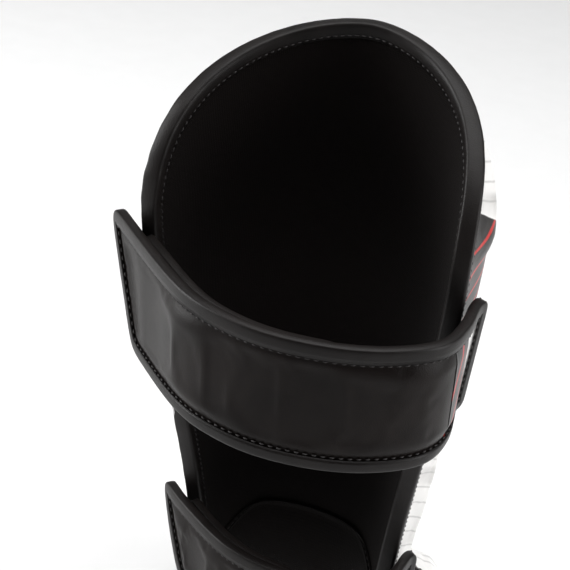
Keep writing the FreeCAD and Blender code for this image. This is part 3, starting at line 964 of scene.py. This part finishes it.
def shifted(panel, depth):
    """The same panel with its surface moved out by a depth."""
    def surface(p, q):
        p, q = np.broadcast_arrays(np.asarray(p, float), np.asarray(q, float))
        return panel.at(p, q, np.full(p.shape, depth))

    piece = copy.copy(panel)
    piece.surface = surface
    return piece


def strap_print(name):
    """Root panel of a strap: black leather printed with slanted red lines and a white border."""
    n = Nodes(name)
    u, v, _ = n.axes(n.coordinates("UV"))
    cross = n.plus(u, n.times(v, 0.35))
    red = stripes(n, cross, 0.0125, 0.16, 0.03)
    white = n.range(u, ROOT_PANEL * 0.62, ROOT_PANEL * 0.60)
    paint = n.blend(red, (0.012, 0.011, 0.011), (0.48, 0.018, 0.016))
    paint = n.blend(white, paint, (0.74, 0.73, 0.72))
    place = n.coordinates()
    normal = grain(n, place, n.noise(place, 2600.0, 3.0), 1.0, 0.4, 0.00012, 0.5)
    return n.finish(paint, 0.38, normal, Specular_IOR_Level=0.5)


PRINT_STRAP = strap_print("printed_strap_panel")


def build_flap(strap, strap_surface, strap_length):
    """The flap under a strap runs from the shell's +X rear edge along the inside of the strap."""
    name, height = strap["name"] + "_flap", strap["height"]
    top = strap["top"]
    set_down = FLAP_SET_DOWN / height
    lines = []
    for q, z in ((set_down, top - height + FLAP_SET_DOWN), (1 - set_down, top - FLAP_SET_DOWN)):
        edge = np.array([1.0])
        corner = SHIN.at(edge, np.array([z]), np.array([-STACK + 1.8 * MM]))[0]
        back = unit(shin_surface(1.0, z) - shin_surface(0.99, z))
        seam, reach = ROOT_PANEL / strap_length, STRAP_CORNER / strap_length
        stations = mix(seam, 1 - reach, np.linspace(12 / 16, 3 / 16, 16))
        places = strap_surface(stations, np.full(16, q))
        ahead = places - strap_surface(stations + 0.002, np.full(16, q))
        inward = unit(np.cross(ahead, [0.0, 0.0, 1.0])) * -1
        inside = places + inward * FLAP_INSET
        lines.append(spline([corner + back * 0.8 * MM, *inside]))
    surface = Strap(*lines)
    inner_height = height - 2 * FLAP_SET_DOWN
    panel = band_panel(surface, surface.length, inner_height, FLAP_CORNER, 90)
    panel.side = 1
    uv = band_uv(surface.length, inner_height)
    depth = strap_depth(FLAP_THICKNESS, STRAP_BINDING, 0.2 * MM, 5)
    cover = sheet_piece(name + "_cover", panel, 31, depth, FLAP_LEATHER, uv)
    lining = sheet_piece(name + "_lining", panel, 31, flat_at(BACKING_SET), LINER, uv, body=-1)
    binding = binding_piece(name + "_binding", shifted(panel, FLAP_THICKNESS), FLAP_THICKNESS,
                            STRAP_BINDING, 0.15 * MM, 31, bulge=0.3 * MM)
    loop = sheet_piece(name + "_loop_patch", inner_part(panel, 0.24, 0.80, 0.15), 9,
                       flat_at(FLAP_THICKNESS + 0.5 * MM), LOOP, uv, margin=0.0)
    stitching = stitches_round(name + "_stitches", panel, STRAP_BINDING - STITCH_INSET, -0.2 * MM,
                               outward=-1)
    for piece in (cover, lining, binding, loop, stitching):
        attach(piece, name)
    replace(name, (cover, "_cover", "_foam"), (lining, "_lining"), (binding, "_binding"),
            (loop, "_loop_patch"))


# Instep

def instep_surface(p, v):
    offset = (v - INSTEP_WIDEST) / INSTEP_LENGTH
    width = INSTEP_HALF_WIDTH * (1 - INSTEP_NARROWING * offset ** 2)
    turn = p * INSTEP_TURN
    crest = INSTEP_HEIGHT - INSTEP_SLOPE * v + INSTEP_SLOPE_EASE * v * v
    drop = (INSTEP_DROP - INSTEP_DROP_EASE * v) * (1 - np.cos(turn))
    return points(width * np.sin(turn), SHIN_FRONT - INSTEP_START - v, crest - drop)


def instep_rear(p):
    return INSTEP_SWEEP * (1 - np.sqrt(np.clip(1 - p * p, 0, 1)))


def instep_toe(p):
    return INSTEP_LENGTH - TOE_ROUND * (1 - np.sqrt(np.clip(1 - p * p, 0, 1)))


INSTEP = Panel(instep_surface, instep_rear, instep_toe, even_turns(91) * 0.985, -1)


def instep_uv(p, v):
    return np.stack([p * 0.115, 0.9 * v], -1)


def build_instep():
    cover = sheet_piece("instep_cover", INSTEP, 61, pillow(INSTEP_PILLOW, INSTEP_RAMP), PLAIN_PRINT,
                        instep_uv, puff=(BINDING, *INSTEP_PUFF))
    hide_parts("instep_cover", "instep_impact_foam")
    liner = sheet_piece("instep_liner", INSTEP, 51, flat_at(-STACK + COVER_SET), LINER, instep_uv,
                        body=-1)
    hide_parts("instep_lining", "instep_comfort_foam")
    binding = binding_piece("instep_edge_binding", INSTEP, STACK, BINDING, 0.3 * MM, 9)
    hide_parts("instep_edge_binding")
    rows = stitch_pair("instep", INSTEP)
    for piece in (cover, liner, binding, *rows):
        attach(piece, "instep")


def slab(name, grid, thickness, material, uv):
    """A strip of even thickness built inwards from a grid of points, with rounded long edges."""
    along = np.gradient(grid, axis=0)
    across = np.gradient(grid, axis=1)
    normal = unit(np.cross(along, across))
    columns, rows = grid.shape[:2]
    share = np.abs(np.linspace(-1, 1, rows)) ** 14
    thin = (thickness * 0.3 * share)[None, :, None]
    vertices = np.concatenate([(grid + normal * thin).reshape(-1, 3),
                               (grid + normal * (thickness - thin)).reshape(-1, 3)])
    total = columns * rows
    faces = quads(columns, rows, flip=True) + quads(columns, rows, start=total)
    ring = edge_ring(columns, rows)
    faces += [(b, a, a + total, b + total) for a, b in zip(ring, ring[1:] + ring[:1])]
    flat = uv.reshape(-1, 2)
    return new_object(name, vertices, [face[::-1] for face in faces], material,
                      np.concatenate([flat, flat]))


def build_sole_band():
    """Elastic under the foot, stitched to the insides of the instep's rear sides."""
    rails = []
    for v in np.linspace(BAND_START, BAND_START + BAND_WIDTH, 15):
        lap_p = np.array([0.80, 0.88, 0.95, 0.985])
        lap = INSTEP.at(lap_p, np.full(4, v), np.full(4, -BAND_DEPTH))
        y = SHIN_FRONT - INSTEP_START - v
        side = [*lap[:-1], mix(lap[-1], lap[-2], 0.2), mix(lap[-1], [BAND_HALF, y, 0], 0.08)]
        foot = [[BAND_HALF + 7 * MM, y, 9.5 * MM], [BAND_HALF + 2 * MM, y, 3.2 * MM],
                [BAND_HALF - 7 * MM, y, 0.15 * MM], [BAND_HALF - 20 * MM, y, 0.05 * MM], [0, y, 0.0]]
        half = [np.asarray(place, float) for place in side + foot]
        mirrored = [place * [-1, 1, 1] for place in half[-2::-1]]
        line, travelled = spline(half + mirrored, 260)
        line[:, 2] = np.maximum(line[:, 2], 0.05 * MM)
        rails.append(line)
    grid = np.stack(rails, 1)
    u = np.repeat(np.linspace(0, travelled[-1], 260)[:, None], 15, 1)
    v = np.repeat(np.linspace(0, BAND_WIDTH, 15)[None], 260, 0)
    band = slab("sole_band_elastic", grid, BAND_THICKNESS, ELASTIC, np.stack([u, v], -1))
    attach(band, "instep")
    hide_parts("sole_band")


def build_ankle_seam():
    """Leather rolled over a cord across the ankle, hung from the shell by a flat web."""
    stations = np.linspace(-1, 1, 61)
    sides = 20
    crease = wander(61, 41, 4.0) * 0.35 * MM
    vertices = []
    for share, fold in zip(stations, crease):
        girth = 4.3 * MM * (1 - abs(share) ** 10) ** 0.5 + 0.3 * MM
        for k in range(sides):
            angle = 2 * math.pi * k / sides
            reach = girth + fold * (1 - abs(share)) * math.cos(2 * angle + 6 * share)
            round_it = [share * SEAM_HALF, reach * math.cos(angle), reach * math.sin(angle)]
            vertices.append(SEAM_CENTRE + round_it)
    faces = quads(61, sides, wrap_columns=True, flip=True)
    faces.append(tuple(range(sides)))
    faces.append(tuple(60 * sides + k for k in reversed(range(sides))))
    roll = new_object("ankle_seam_roll", vertices, faces, BLACK_LEATHER)
    x, z = np.meshgrid(np.linspace(-WEB_HALF, WEB_HALF, 41), np.linspace(105.5, 114.5, 13) * MM,
                       indexing="ij")
    y = SHIN_FRONT + 5.4 * MM + 0.25 * MM * np.sin(x * 420) + (x / WEB_HALF) ** 2 * 1.2 * MM
    web = slab("ankle_seam_web", np.stack([x, y, z], -1), WEB_THICKNESS, BLACK_LEATHER,
               np.stack([x, z], -1))
    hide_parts("ankle_hinge_seam")
    for piece in (roll, web):
        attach(piece, "shin")


def build_ankle_shade_sheet():
    """A dark stretch-knit sheet that closes the ankle from inside, slack between the shell and the
    instep: painted shade for the ankle's opening.
    """
    s = np.linspace(-1, 1, 61)
    t = np.linspace(0, 1, 41)[None, :, None]
    p = 0.66 * s
    top = SHIN.at(p, shin_bottom(p) + 9 * MM, np.full(61, SHADE_SHEET_DEPTH))[:, None]
    low = INSTEP.at(0.52 * s, np.full(61, 34 * MM), np.full(61, SHADE_SHEET_DEPTH))[:, None]
    slack = (1 - 0.6 * np.abs(s) ** 3)[:, None, None]
    first = top + np.array([0.0, 2.0, -74.0]) * MM * slack
    second = low + np.array([0.0, 26.0, -34.0]) * MM * slack
    grid = (top * (1 - t) ** 3 + 3 * first * t * (1 - t) ** 2 + 3 * second * t ** 2 * (1 - t)
            + low * t ** 3)
    random = np.random.default_rng(8)
    for _ in range(9):
        wave = random.uniform([-9, -5, 0], [9, 5, 6.28])
        fold = np.sin(wave[0] * s[:, None] + wave[1] * t[..., 0] + wave[2]) * (t * (1 - t) * 4)[..., 0]
        grid[..., 1] += 0.5 * MM * fold
        grid[..., 2] += 0.3 * MM * fold
    steps = np.linalg.norm(np.diff(grid, axis=1), axis=2).sum(1)
    widths = np.linalg.norm(np.diff(grid, axis=0), axis=2).sum(0)
    u = np.repeat(s[:, None], 41, 1) * widths.mean() / 2
    v = np.repeat(t[..., 0], 61, 0) * steps.mean()
    shade_sheet = slab("ankle_shade_sheet", grid, SHADE_SHEET_THICKNESS, ANKLE_SHADE_KNIT, np.stack([u, v], -1))
    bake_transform(shade_sheet)


# Floor, light and camera

def build_stage():
    n = Nodes("studio_floor")
    speck = n.noise(n.coordinates(), 30.0, 3.0)
    n.finish(n.blend(speck, (0.79, 0.79, 0.79), (0.83, 0.83, 0.83)), 0.9)
    size = 6.0
    turns = np.radians(np.linspace(0, 90, 24))
    bend = [(2.4 + 1.6 * math.sin(t), 1.6 - 1.6 * math.cos(t)) for t in turns]
    profile = [(-size, 0.0), *bend, (4.0, size)]
    vertices = [(x, -y, z) for y, z in profile for x in (-size, size)]
    new_object("studio_floor", vertices, quads(len(profile), 2), n.material)


def area_light(name, place, target, size, power):
    light = bpy.data.lights.new(name, "AREA")
    light.shape = "RECTANGLE"
    light.size, light.size_y = size
    light.energy = power
    lamp = bpy.data.objects.new(name, light)
    lamp.location = place
    lamp.rotation_euler = (Vector(target) - Vector(place)).to_track_quat("-Z", "Y").to_euler()
    bpy.context.scene.collection.objects.link(lamp)


def build_lights():
    target = (0, 0.14, 0.3)
    area_light("key_from_left", (1.9, 0.5, 0.9), target, (0.8, 1.5), 40)
    area_light("fill_from_right", (-1.8, 0.1, 0.8), target, (0.8, 1.4), 24)
    area_light("top_soft", (0.0, -0.3, 2.4), (0, -0.2, 0), (2.4, 2.4), 62)
    world = bpy.data.worlds.new("studio_world")
    world.use_nodes = True
    sky = world.node_tree.nodes["Background"].inputs
    sky["Color"].default_value = (0.95, 0.95, 0.96, 1)
    sky["Strength"].default_value = 0.08
    bpy.context.scene.world = world


def build_camera():
    """Camera behind and above the calf, tilted a little, with the shin's top filling the frame."""
    forward = Vector(CAMERA_AIM).normalized()
    right = forward.cross(Vector((0, 0, 1))).normalized()
    up = right.cross(forward)
    turn, tilt = math.cos(CAMERA_ROLL), math.sin(CAMERA_ROLL)
    right, up = right * turn + up * tilt, up * turn - right * tilt
    data = bpy.data.cameras.new("camera")
    data.sensor_width = 36
    data.lens = CAMERA_LENS
    camera = bpy.data.objects.new("camera", data)
    axes = Matrix((right, up, -forward)).transposed().to_4x4()
    camera.matrix_world = Matrix.Translation(Vector(CAMERA_PLACE)) @ axes
    bpy.context.scene.collection.objects.link(camera)
    bpy.context.scene.camera = camera
    bpy.context.scene.view_settings.view_transform = "Standard"


build_shin()
for STRAP in (UPPER, LOWER):
    build_flap(STRAP, *build_strap(STRAP))
build_instep()
build_sole_band()
build_ankle_seam()
build_ankle_shade_sheet()
build_stage()
build_lights()
build_camera()
